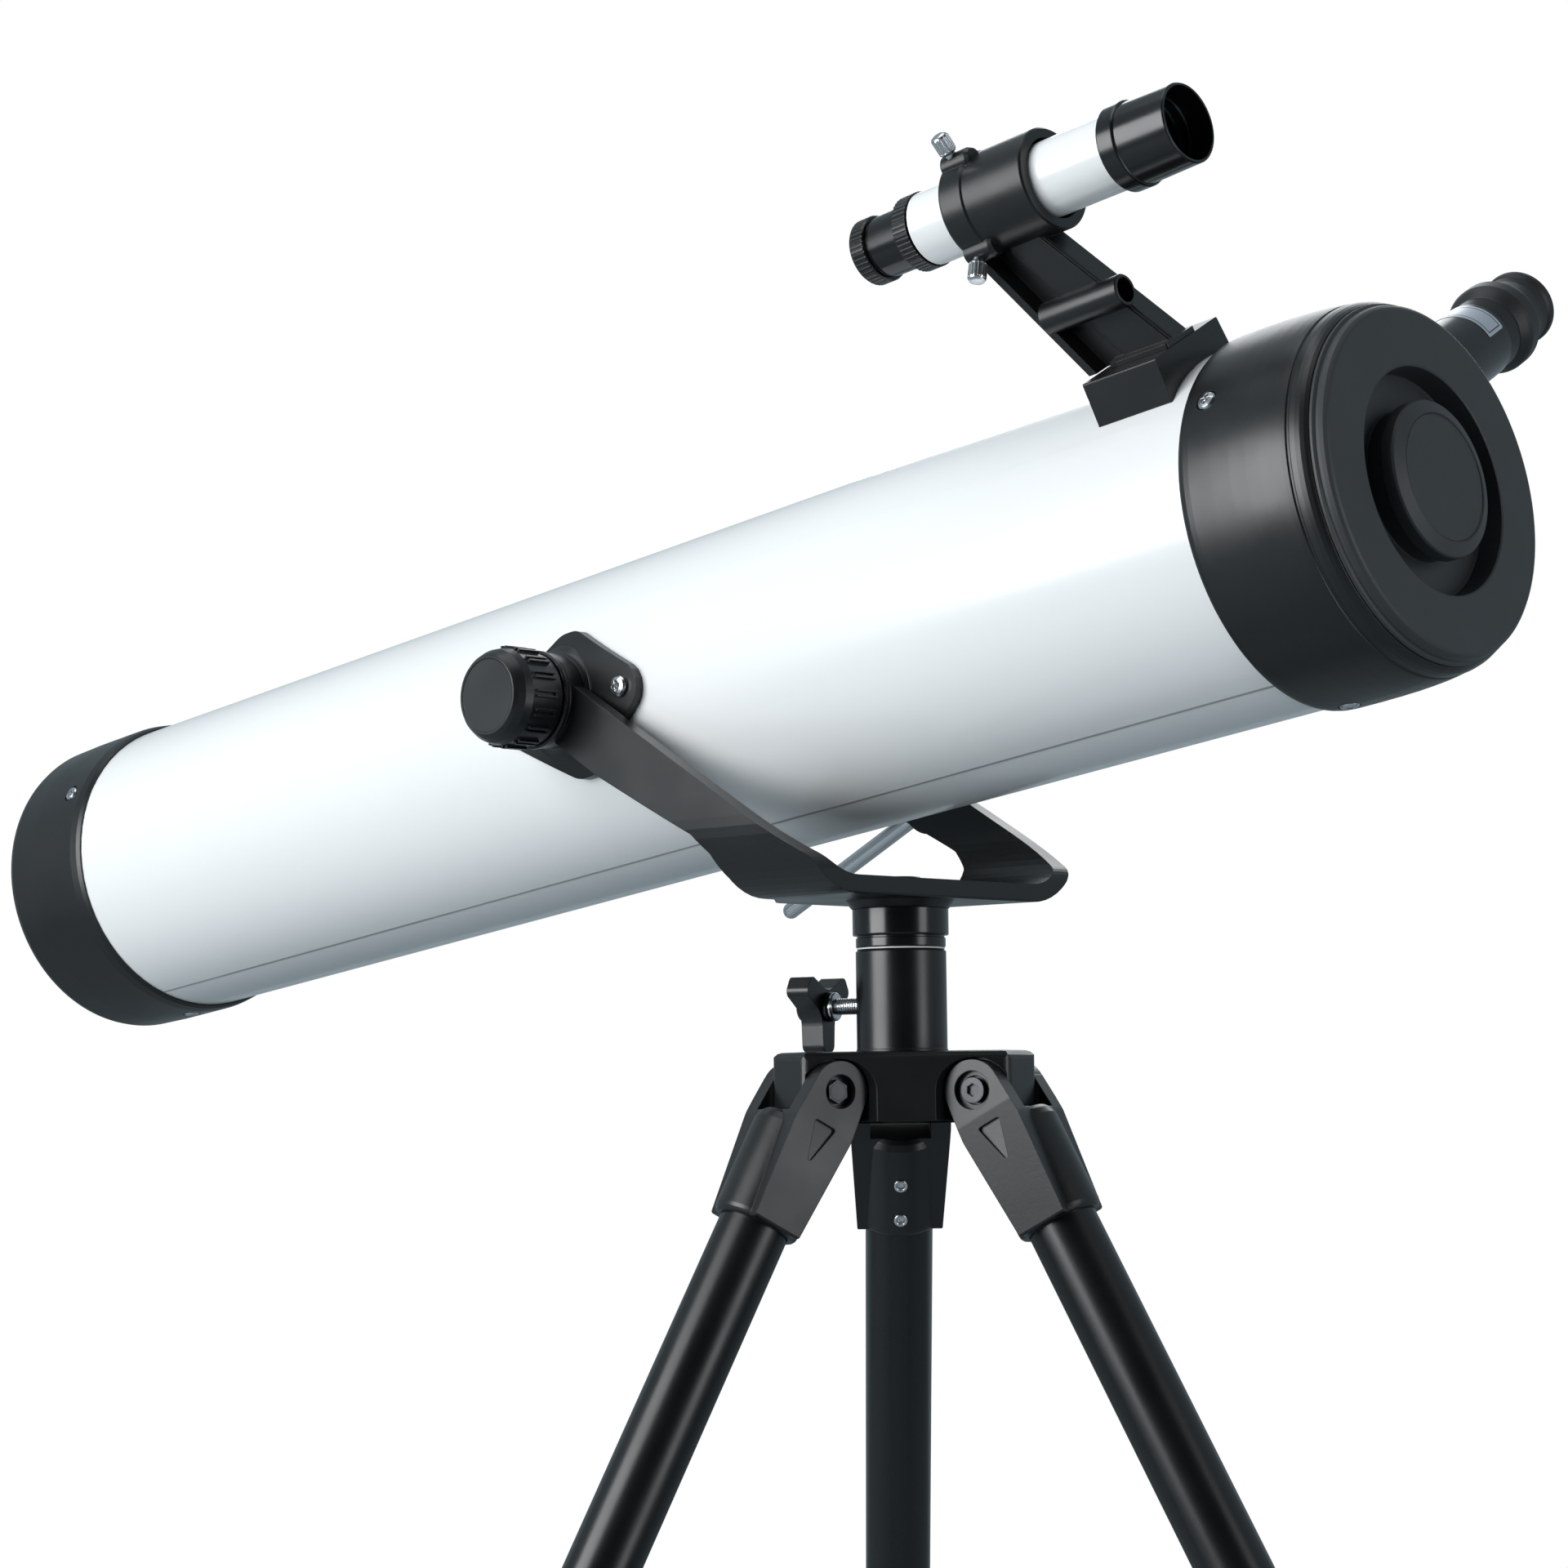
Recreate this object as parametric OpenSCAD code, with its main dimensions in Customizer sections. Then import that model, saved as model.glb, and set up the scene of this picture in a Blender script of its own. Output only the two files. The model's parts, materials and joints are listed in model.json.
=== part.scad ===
// Newtonian reflector telescope on an altitude-azimuth yoke and a folding tripod.
// Origin: centre of the tripod hub's underside, on the azimuth axis. +Z is up and
// +X is the way the tube points. All lengths are millimetres, all angles degrees.

/* [Main tube] */
// outside diameter of the main tube
tube_d = 120; // [116:1:124]
// wall of the rolled steel tube
tube_wall = 0.8; // [0.5:0.1:1.2]
// altitude at which the tube rests
alt = 7.775; // [0:0.1:20]
// distance from the altitude axis back to the open rear end
rear_end = 346.6; // [330:1:360]
// distance from the altitude axis forward to the front ring's edge
front_edge = 330.2; // [320:1:340]

/* [Optics] */
// diameter of the primary mirror
mirror_d = 76; // [70:1:80]
// focal length of the primary mirror
focal = 700; // [600:10:800]
// station of the focuser axis along the tube
focus_s = 246.9; // [240:1:250]
// angle of the focuser round the tube, from the top towards the far side
focus_om = 61.6; // [55:0.1:70]
// angle of the finder round the tube
finder_om = -28.4; // [-40:0.1:-20]
// distance from the tube axis to the finder axis
finder_r = 131.4; // [125:0.1:140]

/* [Mount] */
// altitude axis, X and Z
piv_x = -107.2; // [-110:0.1:-100]
piv_z = 151.9; // [145:0.1:160]
// outside half width of the yoke
yoke_w = 72.8; // [71:0.1:75]
// thickness of the yoke arms
arm_t = 6.5; // [5:0.5:8]

/* [Tripod] */
// height of the hub
hub_h = 24.6; // [22:0.1:28]
// radius of the leg hinges
hinge_r = 36; // [34:0.5:40]
// height of the leg hinges
hinge_z = 11; // [10:0.5:13]
// angle of the legs from the vertical
leg_ang = 28.16; // [25:0.01:32]
// direction of the first leg
leg_a0 = -106.2; // [-120:0.1:-90]
// floor below the hub's underside
floor_z = 700; // [600:10:760]
// outside radius of the upper leg tube
leg_r = 12.2; // [11:0.1:14]

/* [Hidden] */
$fn = 96;
tr = tube_d / 2;
gear_m = 0.8;
gear_n = 14;
gear_r = gear_m * gear_n / 2;
pinion_y = 26.6;
pinion_t = 86;
leg_len = (floor_z + hinge_z) / cos(leg_ang);

// ---- helpers -------------------------------------------------------------

// polygon corners rounded to radius r (one number or one per corner)
function rpoly(p, r, n = 6) = [for (i = [0 : len(p) - 1])
  let (a = p[(i + len(p) - 1) % len(p)], b = p[i], c = p[(i + 1) % len(p)],
    u = (a - b) / norm(a - b), v = (c - b) / norm(c - b), t = acos(u * v),
    q = is_list(r) ? r[i] : r, m = (u + v) / norm(u + v), o = b + m * q / sin(t / 2),
    s = b + u * q / tan(t / 2) - o, e = b + v * q / tan(t / 2) - o,
    s0 = atan2(s.y, s.x), d = ((atan2(e.y, e.x) - s0 + 540) % 360) - 180)
  for (k = [0 : n]) o + q * [cos(s0 + d * k / n), sin(s0 + d * k / n)]];

// frame of the tube: X forward along the optical axis, Y to the far side
module ota() {
  translate([piv_x, 0, piv_z]) rotate([0, -alt, 0]) children();
}

// frame on the tube: Z radial at angle om, X along the tube
module on_tube(om, s) {
  ota() rotate([-om, 0, 0]) translate([s, 0, 0]) children();
}

module focuser_frame() {
  on_tube(focus_om, focus_s) children();
}

module finder_frame() {
  on_tube(finder_om, 0) translate([0, 0, finder_r]) children();
}

// solid of revolution about X from points [radius, station]
module turned(pts) {
  rotate([0, 90, 0]) rotate_extrude($fn = 120) polygon(pts);
}

module rod_x(r, x0, x1) {
  translate([x0, 0, 0]) rotate([0, 90, 0]) cylinder(r = r, h = x1 - x0);
}

module rod_y(r, y0, y1) {
  translate([0, y1, 0]) rotate([90, 0, 0]) cylinder(r = r, h = y1 - y0);
}

module rod_z(r, z0, z1) {
  translate([0, 0, z0]) cylinder(r = r, h = z1 - z0);
}

// pan-head cross-slot screw, head seat at z = 0, shank pointing down
module pan_screw(r, shank, len, h = 2.2) {
  difference() {
    rotate_extrude() polygon([[0, -len], [shank, -len], [shank, 0], [r, 0], [r, 0.45 * h],
      [0.86 * r, 0.82 * h], [0.55 * r, h], [0, h]]);
    for (a = [0, 90]) rotate([0, 0, a]) translate([-0.55 * r, -0.14 * r, 0.45 * h])
      cube([1.1 * r, 0.28 * r, h]);
  }
}

// frame of a leg: -Z runs down the leg from its hinge
module leg(i) {
  rotate([0, 0, leg_a0 + 120 * i]) translate([hinge_r, 0, hinge_z])
    rotate([0, -leg_ang, 0]) children();
}

// ---- tripod head ---------------------------------------------------------

function hub_outline() = [for (i = [0 : 2], s = [-1, 1])
  let (a = leg_a0 + 120 * i) [46.5 * cos(a) - s * 10.5 * sin(a), 46.5 * sin(a) + s * 10.5 * cos(a)]];

module tripod_hub() color("#1b1d20") difference() {
  union() {
    rod_z(20, 0, 2);
    translate([0, 0, 0.8]) linear_extrude(hub_h - 0.8) polygon(rpoly(hub_outline(), 4, 6));
  }
  for (i = [0 : 2], q = [[0, 46.5], [60, 32.34]]) rotate([0, 0, leg_a0 + 120 * i + q[0]])
    translate([q[1] - 3.6, 0, hub_h - 3.6]) for (b = [18, 45, 72]) rotate([0, -b, 0])
      translate([3.6, -60, -20]) cube([20, 120, 40]);
  rod_z(13.05, 4, hub_h + 1);
  for (i = [0 : 2]) rotate([0, 0, leg_a0 + 120 * i]) translate([hinge_r, 0, hinge_z]) {
    rod_y(3.05, -20, 20);
    for (m = [0, 1]) mirror([0, m, 0]) {
      rod_y(11.2, 10.6, 40);
      translate([-11.2, 10.6, -20]) cube([40, 30, 20]);
    }
    difference() {
      translate([0, -10.7, -20]) cube([20, 21.4, 20]);
      rod_y(12, -11, 11);
    }
  }
}

module hinge_bolts() color("#8d9094") for (i = [0 : 2]) leg(i) mirror([0, 1, 0]) {
  rod_y(3, -16.3, 15.4);
  difference() {
    rod_y(4.3, 15.4, 17.6);
    translate([0, 18, 0]) rotate([90, 0, 0]) cylinder(r = 2.3, h = 1.8, $fn = 6);
  }
  translate([0, -13.6, 0]) rotate([90, 0, 0]) difference() {
    cylinder(r = 4.1, h = 2.6, $fn = 6);
    translate([0, 0, -1]) cylinder(r = 2.9, h = 5);
  }
}

// height of the azimuth lock screw
lock_z = 41;

module azimuth_column() color("#17191c") difference() {
  rotate_extrude() polygon([[0, 6], [13, 6], [13, hub_h], [16, hub_h], [16, hub_h + 0.7],
    [15.8, hub_h + 1.2], [15.8, 59.5], [15.0, 60.3], [0, 60.3]]);
  rod_z(11.05, 30, 61);
  rotate([0, 0, 193.8]) translate([0, 0, lock_z]) rod_x(2.55, 8, 20);
}

module lock_screw() color("#b9bcc0") rotate([0, 0, 193.8]) translate([0, 0, lock_z])
  rotate([0, 90, 0]) rotate_extrude() polygon([[0, 11.2], [1.8, 11.2], [2.5, 11.9],
    [2.5, 37], [0, 37]]);

function lobe(ro, w, ri) = [for (k = [0 : 2]) let (a = 120 * k)
  for (q = [[ro, -w], [ro, w], [ri * cos(60), ri * sin(60)]])
    [q.x * cos(a) - q.y * sin(a), q.x * sin(a) + q.y * cos(a)]];

module lock_knob() color("#1a1b1d") rotate([0, 0, 193.8]) translate([0, 0, lock_z])
  rotate([0, 90, 0]) difference() {
    union() {
      translate([0, 0, 29.2]) linear_extrude(8.6)
        polygon(rpoly(lobe(15.8, 3.8, 5.2), [2.4, 2.4, 8, 2.4, 2.4, 8, 2.4, 2.4, 8], 8));
      rotate_extrude() polygon([[0, 27.2], [4.6, 27.2], [5.2, 27.8], [5.4, 38.6], [4.8, 39.6], [0, 40]]);
    }
    rod_z(2.5, 20, 37);
  }

// ---- legs ----------------------------------------------------------------

module leg_fitting(i) color("#1a1c1f") leg(i) difference() {
  union() {
    rotate_extrude() polygon([[0, -12.6], [13.2, -12.6], [14.4, -14], [15.2, -16.4], [15.1, -48.8],
      [14.9, -50], [14.3, -50.9], [13.4, -51.4], [0, -51.4]]);
    intersection() {
      rotate([90, 0, 0]) linear_extrude(40, center = true) union() {
        circle(r = 10.4);
        polygon(rpoly([[-10.4, 1], [10.4, 1], [11.8, -14], [9.4, -51.2], [-9.4, -51.2], [-11.8, -14]],
          [1, 1, 12, 1, 1, 12], 6));
      }
      rotate([90, 0, 90]) linear_extrude(40, center = true)
        polygon(rpoly([[-18, 12], [18, 12], [18, -9], [15.4, -51.2], [-15.4, -51.2], [-18, -9]],
          [1.2, 1.2, 14, 1, 1, 14], 6));
    }
  }
  translate([-20, -10.9, -12.6]) cube([40, 21.8, 40]);
  rod_z(leg_r + 0.05, -60, -17);
  rod_y(3.05, -20, 20);
  rod_y(6.6, -20, -15.4);
  rod_y(4.95, -15.5, -13.5);
  rod_y(5.8, 13.6, 20);
  for (m = [0, 1]) mirror([0, m, 0]) translate([0, 20, 0]) rotate([90, 0, 0]) linear_extrude(3.6)
    polygon(rpoly([[-4.6, -12.4], [4.6, -12.4], [0, -28]], 0.8, 3));
  for (z = [-30, -44]) translate([0, 0, z]) rotate([0, -90, 0]) rod_z(2.6, 13.4, 20);
}

module leg_tube(i) color("#232629") leg(i) difference() {
  rod_z(leg_r, -(leg_len - 52), -17.2);
  rod_z(leg_r - 1, -leg_len, 0);
}

module leg_collar(i) color("#191b1d") leg(i) translate([0, 0, -(leg_len - 36)]) difference() {
  rotate_extrude() polygon([[leg_r + 0.05, -9.8], [15.6, -9.8], [16.4, -8], [16.4, 22], [15.4, 24],
    [leg_r + 0.05, 24]]);
  for (k = [0 : 23]) rotate([0, 0, 15 * k]) translate([16.9, 0, -6]) cylinder(r = 1.1, h = 26);
}

module leg_lower(i) color("#3a3d40") leg(i) difference() {
  rod_z(leg_r - 1.05, -(leg_len - 9), -60);
  rod_z(leg_r - 2.1, -leg_len - 5, -59);
}

module leg_foot(i) color("#141414") intersection() {
  leg(i) rotate_extrude() polygon([[leg_r - 1, -(leg_len - 24)], [leg_r + 1.2, -(leg_len - 24)],
    [leg_r + 3.4, -(leg_len - 12)], [leg_r + 5.2, -(leg_len - 4)], [leg_r + 5.2, -(leg_len + 14)],
    [0, -(leg_len + 14)], [0, -(leg_len - 8.9)], [leg_r - 1, -(leg_len - 8.9)]]);
  translate([-700, -700, -floor_z]) cube([1400, 1400, 500]);
}

// ---- yoke ----------------------------------------------------------------

module yoke_side() {
  circle(r = 15.6);
  polygon(rpoly([[10, 7.8], [129.5, -63.4], [129.5, -74.5], [86, -74.5], [85.8, -68], [83, -59.6],
    [76, -52.6], [28.7, -28.7], [8, -16], [-2, 0]], [0.5, 8, 1, 1, 1, 4, 5, 20, 1, 1], 6));
}

module yoke_front() difference() {
  polygon(rpoly([[-70.2, 20], [70.2, 20], [yoke_w, -40], [yoke_w, -74.5], [-yoke_w, -74.5], [-yoke_w, -40]],
    [1, 1, 60, 27, 27, 60], 12));
  polygon(rpoly([[-64.8, 24], [64.8, 24], [yoke_w - arm_t, -40], [yoke_w - arm_t, -68.1],
    [arm_t - yoke_w, -68.1], [arm_t - yoke_w, -40]], [1, 1, 60, 20.5, 20.5, 60], 12));
}

module yoke() color("#1c1e22") translate([piv_x, 0, piv_z]) difference() {
  union() {
    difference() {
      intersection() {
        rotate([90, 0, 0]) linear_extrude(160, center = true) yoke_side();
        translate([-40, 0, 0]) rotate([90, 0, 90]) linear_extrude(220) yoke_front();
      }
      rod_y(17.8, -65.9, 65.9);
    }
    translate([0, 0, -74.5]) linear_extrude(6.4)
      polygon(rpoly([[72, -26], [72, 26], [90, 46], [90, -46]], [8, 8, 1, 1], 6));
    translate([-piv_x, 0, -piv_z]) rotate_extrude() polygon([[0, 74.5], [17, 74.5], [17.4, 74.9],
      [19.4, 77.4], [19.4, 80], [0, 80]]);
    for (m = [0, 1]) mirror([0, m, 0]) rotate([-90, 0, 0]) rotate_extrude() polygon([[0, 65.9],
      [17, 65.9], [17.2, 66.1], [17.2, 72.5], [17, 73], [16.5, 73.2], [0, 73.2]]);
  }
  translate([-piv_x, 0, 0]) rod_z(8.05, -80, -60);
  rod_y(3.05, -90, 90);
  translate([50, 0, -33.05]) rod_y(3.05, 50, 90);
}

module yoke_spindle() color("#1a1c1f") rotate_extrude() polygon([[0, 34], [10, 34], [11, 35],
  [11, 60.95], [15.4, 60.95], [15.7, 61.3], [15.7, 64.2], [15.3, 64.3], [15.3, 65], [16.6, 65.2],
  [16.8, 65.6], [16.8, 74.4], [8, 74.4], [8, 84.6], [7, 85.6], [0, 85.6]]);

module azimuth_washer() color("#e6e6e2") difference() {
  rod_z(15.3, 60.35, 60.9);
  rod_z(11.1, 60, 61);
}

module altitude_washers() color("#202225") translate([piv_x, 0, piv_z])
  for (m = [0, 1]) mirror([0, m, 0]) difference() {
    translate([0, 73.25, 0]) rotate([-90, 0, 0]) rotate_extrude() polygon([[3.1, 0], [17.1, 0],
      [17.7, 0.5], [17.7, 1.5], [17.1, 2.1], [3.1, 2.1]]);
    rod_y(3.1, 70, 80);
  }

module altitude_knob(m) color("#17181b") translate([piv_x, 0, piv_z]) mirror([0, m, 0])
  rotate([90, 0, 0]) union() {
      rotate_extrude() polygon([[0, 54], [2.5, 54], [3, 54.5], [3, 75.6], [16, 75.6], [16.6, 76.2],
        [16.6, 78.4], [17.1, 78.8], [17.3, 90.5], [16.6, 93.5], [15.2, 96], [14.2, 97.1],
        [13.9, 97.3], [13.2, 97.3], [13.0, 96.9], [0, 96.9]]);
      for (k = [0 : 15]) rotate([0, 0, 22.5 * k]) for (s = [-1, 1]) rotate([0, 0, 3.2 * s])
        translate([16, -0.45, 79.6]) cube([2.35, 0.9, 9.6]);
      for (k = [0 : 15]) rotate([0, 0, 22.5 * k]) translate([16, -1.3, 79.6]) cube([2.0, 2.6, 1.1]);
  }

// ---- tube assembly -------------------------------------------------------

// the plates sit a little below the tube's centre plane
plate_z = -1.6;

function plate_outline() = [for (p = rpoly([[-40, 0], [0.6, 26.8], [8.6, 26.8], [48, 0], [8.6, -26.8],
  [0.6, -26.8]], 9, 5)) p - [0, plate_z]];

module saddle_plates() color("#191b1e") ota() for (m = [0, 1]) mirror([0, m, 0]) difference() {
  union() {
    intersection() {
      rotate([-90, 0, 0]) translate([0, 0, 30]) linear_extrude(60) polygon(plate_outline());
      difference() {
        rod_x(tr + 3.6, -60, 60);
        rod_x(tr + 0.05, -61, 61);
      }
    }
    difference() {
      rotate([-90, 0, 0]) rotate_extrude() polygon([[0, 50], [22.5, 50], [21.4, 59.6], [20, 61.2],
        [18.6, 62.5], [17.7, 63.7], [17.3, 64.8], [17.1, 65.3], [16.8, 65.5], [0, 65.5]]);
      rod_x(tr + 0.05, -61, 61);
    }
  }
  rod_y(3.05, 40, 90);
  for (x = [-26, 33]) translate([x, 0, plate_z]) rod_y(2.05, 50, 90);
}

module saddle_screws() color("#c9ccd0") ota() for (m = [0, 1]) mirror([0, m, 0])
  for (x = [-26, 33]) translate([x, tr + 3.65, plate_z]) rotate([-90, 0, 0]) pan_screw(3.7, 2, 7);

module ring_holes(r) {
  for (k = [0 : 2]) {
    on_tube(-60.3 + 120 * k, 292.4) rod_z(r, 50, 70);
    on_tube(-60 + 120 * k, -309.5) rod_z(r, 50, 70);
  }
}

// flat seats for the ring screws, at radius q
module ring_seats(q) {
  for (k = [0 : 2]) {
    on_tube(-60.3 + 120 * k, 292.4) rod_z(3.7, q, 70);
    on_tube(-60 + 120 * k, -309.5) rod_z(3.7, q, 70);
  }
}

module main_tube() color("#e9ebec") difference() {
  ota() difference() {
    rod_x(tr, -322, 305.8);
    rod_x(tr - tube_wall, -330, 310);
    rod_y(3.6, -80, 80);
    for (x = [-26, 33]) translate([x, 0, plate_z]) rod_y(2.4, -80, 80);
  }
  focuser_frame() rod_z(22.6, 40, 80);
  ring_holes(2.1);
}

module front_ring() color("#1d2023") difference() {
  ota() turned([[tr + 0.1, 282.8], [61, 282.8], [61.5, 283.2], [61.9, 284], [62.2, 285.4], [62.3, 287.5],
    [62.3, 296], [62.2, 303], [62, 309], [61.7, 314], [61.3, 318.5], [60.9, 321.6], [60.6, 323.2],
    [60.1, 323.5], [60.1, 324.3], [60.4, 324.6], [60.2, 326.4], [59.8, 328], [59.2, 329.2],
    [58.4, front_edge], [55.3, front_edge], [55.3, 307], [tr + 0.1, 307]]);
  ring_holes(2.1);
  ring_seats(61.3);
}

module rear_ring() color("#1d2023") difference() {
  ota() difference() {
    turned([[tr + 0.1, -296.8], [60.7, -296.8], [61.6, -298.4], [62.1, -302], [62, -330],
      [61.6, -344], [61, -rear_end + 0.4], [60.4, -rear_end], [57.6, -rear_end], [57.4, -337.4],
      [17, -337.4], [17, -334], [57.4, -334], [57.4, -324], [tr + 0.1, -324]]);
    for (k = [0 : 5]) rotate([60 * k, 0, 0]) translate([-340, 0, 30]) rod_x(k % 2 == 0 ? 2.6 : 2.05, 0, 10);
    for (k = [0 : 2]) rotate([120 * k + 30, 0, 0]) translate([-340, 0, 46]) rod_x(5, 0, 10);
  }
  ring_holes(2.1);
  ring_seats(61.1);
}

module ring_screws() color("#c9ccd0") for (k = [0 : 2]) {
  on_tube(-60.3 + 120 * k, 292.4) translate([0, 0, 61.35]) pan_screw(3.3, 2, 4, 1.7);
  on_tube(-60 + 120 * k, -309.5) translate([0, 0, 61.15]) pan_screw(3.1, 2, 4, 1.5);
}

module dust_cap() color("#1f2225") ota() turned([[55.2, 316], [55.2, 330.3], [58, 330.3],
  [58.2, 330.7], [58.1, 331.4], [57, 332], [57.1, 333], [56.6, 334.4], [55.8, 335.2], [54.9, 335.6], [37.4, 335.6],
  [36.8, 335.2], [36.4, 327.4], [36, 327], [24.4, 327], [24, 327.4], [24, 333], [21.9, 333],
  [21.9, 325], [38.2, 325], [38.7, 333.6], [53.2, 333.6], [53.2, 316]]);

module centre_cap() color("#24272a") ota() turned([[0, 337.6], [19.6, 337.6], [19.6, 327],
  [21.85, 327], [21.85, 333.1], [25.2, 333.1], [25.5, 333.4], [25.5, 337.2], [25.1, 337.9],
  [21, 339.5], [20.7, 339.3], [20.5, 338.9], [20.2, 339.2], [0, 339.2]]);

module spider() color("#26282b") ota() rotate([-focus_om + 60, 0, 0]) difference() {
  union() {
    rod_x(8, 274, 288);
    for (k = [0 : 2]) rotate([120 * k, 0, 0]) {
      translate([275, -0.5, 6]) cube([12, 1, tr - tube_wall - 6.4]);
      intersection() {
        translate([275, -6, 56]) cube([12, 12, 5]);
        difference() {
          rod_x(tr - tube_wall - 0.05, 270, 290);
          rod_x(tr - tube_wall - 1.4, 269, 291);
        }
      }
    }
  }
  rod_x(2.55, 270, 290);
}

module secondary_holder() color("#26282b") focuser_frame() difference() {
  union() {
    rod_x(9.8, -8, 24);
    rod_x(2.5, 24, 41);
  }
  rotate([0, -45, 0]) translate([-40, -20, -4.05]) cube([80, 40, 60]);
}

module secondary_mirror() color("#cfd6dc") focuser_frame() intersection() {
  rod_x(10, -20, 20);
  rotate([0, -45, 0]) translate([-20, -20, -4]) cube([40, 40, 4]);
}

module mirror_cell() color("#2b2d30") ota() difference() {
  union() {
    difference() {
      rod_x(mirror_d / 2 + 3, -328, -312);
      rod_x(mirror_d / 2 + 0.3, -324, -310);
    }
    for (k = [0 : 2]) rotate([120 * k, 0, 0]) translate([-314, -5, mirror_d / 2 - 3]) cube([2, 10, 5]);
  }
  for (k = [0 : 2]) rotate([120 * k, 0, 0]) translate([-333, 0, 30]) rod_x(2.05, 0, 8.8);
}

module primary_mirror() color("#cfd6dc") ota() turned(concat([[0, -323.95], [mirror_d / 2, -323.95]],
  [for (k = [12 : -1 : 0]) let (r = mirror_d / 2 * k / 12)
    [r, -314.05 - (pow(mirror_d / 2, 2) - r * r) / (4 * focal)]]));

module collimation_screws() color("#c9ccd0") ota() for (k = [0 : 5]) rotate([60 * k, 0, 0])
  translate([0, 0, 30]) difference() {
    union() {
      rod_x(2, -337.5, k % 2 == 0 ? -324.6 : -328.05);
      rod_x(k % 2 == 0 ? 4 : 3.4, k % 2 == 0 ? -340.4 : -341.4, -337.45);
    }
    translate([-342, -0.5, -5]) cube([2, 1, 10]);
  }

// ---- focuser -------------------------------------------------------------

module focuser_base() color("#1c1e21") focuser_frame() difference() {
  union() {
    intersection() {
      translate([0, 0, 50]) linear_extrude(18) polygon(rpoly([[-28, -29], [28, -29], [28, 31], [-28, 31]],
        7, 5));
      translate([-focus_s, 0, 0]) rod_x(tr + 8.5, 200, 300);
    }
    rotate_extrude() polygon([[0, 55], [27, 55], [26, 66], [23.6, 70], [23.6, 100], [24.4, 101],
      [24.4, 105], [23.6, 106], [0, 106]]);
    intersection() {
      translate([-14, 0, 60]) cube([28, 34.5, 36]);
      translate([0, pinion_y, pinion_t]) rod_x(10.5, -14, 14);
    }
    translate([-14, 10, 60]) cube([28, pinion_y - 1, 26]);
  }
  translate([-focus_s, 0, 0]) rod_x(tr + 0.05, 190, 310);
  rod_z(19.05, 40, 110);
  translate([-4.2, 10, 40]) cube([8.4, 12.1, 80]);
  translate([0, pinion_y, pinion_t]) {
    rod_x(2.55, -20, 20);
    rod_x(7, -4.4, 4.4);
  }
}

function rack_y() = pinion_y - gear_r;

module drawtube() color("#6f7275") focuser_frame() {
  difference() {
    union() {
      rod_z(18.95, 46, 116);
      rotate_extrude() polygon([[0, 116], [20.6, 116], [21, 116.4], [21, 127.6], [20.4, 128.2],
        [0, 128.2]]);
      translate([-4, 15, 47]) cube([8, rack_y() - gear_m - 15, 64]);
      for (k = [-15 : 9]) translate([0, 0, pinion_t + k * PI * gear_m])
        rotate([90, 0, 90]) linear_extrude(8, center = true)
          polygon([[rack_y() - gear_m - 0.2, -0.9], [rack_y() + 0.5 * gear_m, -0.39],
            [rack_y() + 0.5 * gear_m, 0.39], [rack_y() - gear_m - 0.2, 0.9]]);
    }
    rod_z(17.4, 40, 114);
    rod_z(12.3, 110, 130);
  }
}

// involute flank point at radius r, and the half angle of a tooth at radius r
function inv(a) = tan(a) * 180 / PI - a;
function half_tooth(r, rb) = 90 / gear_n - 0.55 - inv(acos(rb / r)) + inv(20);
function tooth(k, rb, rf, ro) = concat(
  [[rf, k * 360 / gear_n - half_tooth(rb, rb)]],
  [for (j = [0 : 5]) let (r = rb + (ro - rb) * j / 5) [r, k * 360 / gear_n - half_tooth(r, rb)]],
  [for (j = [5 : -1 : 0]) let (r = rb + (ro - rb) * j / 5) [r, k * 360 / gear_n + half_tooth(r, rb)]],
  [[rf, k * 360 / gear_n + half_tooth(rb, rb)]]);

module focus_shaft() color("#b4b7ba") focuser_frame() translate([0, pinion_y, pinion_t]) {
  rod_x(2.5, -40, 40);
  rotate([0, 90, 0]) rotate([0, 0, 90 + 180 / gear_n]) translate([0, 0, -4]) linear_extrude(8)
    polygon([for (k = [0 : gear_n - 1])
      for (q = tooth(k, gear_r * cos(20), gear_r - 0.85, gear_r + 0.6)) [q.x * cos(q.y), q.x * sin(q.y)]]);
}

module focus_knobs() color("#191b1d") focuser_frame() translate([0, pinion_y, pinion_t])
  for (m = [0, 1]) mirror([m, 0, 0]) difference() {
    rotate([0, 90, 0]) rotate_extrude() polygon([[0, 15], [7, 15], [7, 19], [13.6, 20], [14.2, 21],
      [14.2, 33], [13.4, 34.4], [12, 35], [0, 35]]);
    for (k = [0 : 29]) rotate([12 * k, 0, 0]) translate([0, 0, 14.7]) rod_x(0.9, 21.6, 32.4);
    rod_x(2.5, 0, 50);
  }

module erecting_tube() color("#1b1d20") focuser_frame() difference() {
  rotate_extrude() polygon([[0, 98], [12.25, 98], [12.25, 128.3], [14.6, 128.3], [15, 128.8],
    [14.8, 150], [14.5, 207.6], [14.0, 208.2], [0, 208.2]]);
  rod_z(9.6, 90, 210);
}

module eyepiece() color("#191b1d") focuser_frame() difference() {
  rotate_extrude() polygon([[0, 186], [9.5, 186], [9.5, 208.3], [13.3, 208.3], [13.2, 209.4],
    [14.2, 216], [11, 216], [11, 234], [0, 234]]);
  rod_z(8.2, 180, 229);
  rod_z(6.5, 228, 240);
}

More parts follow.
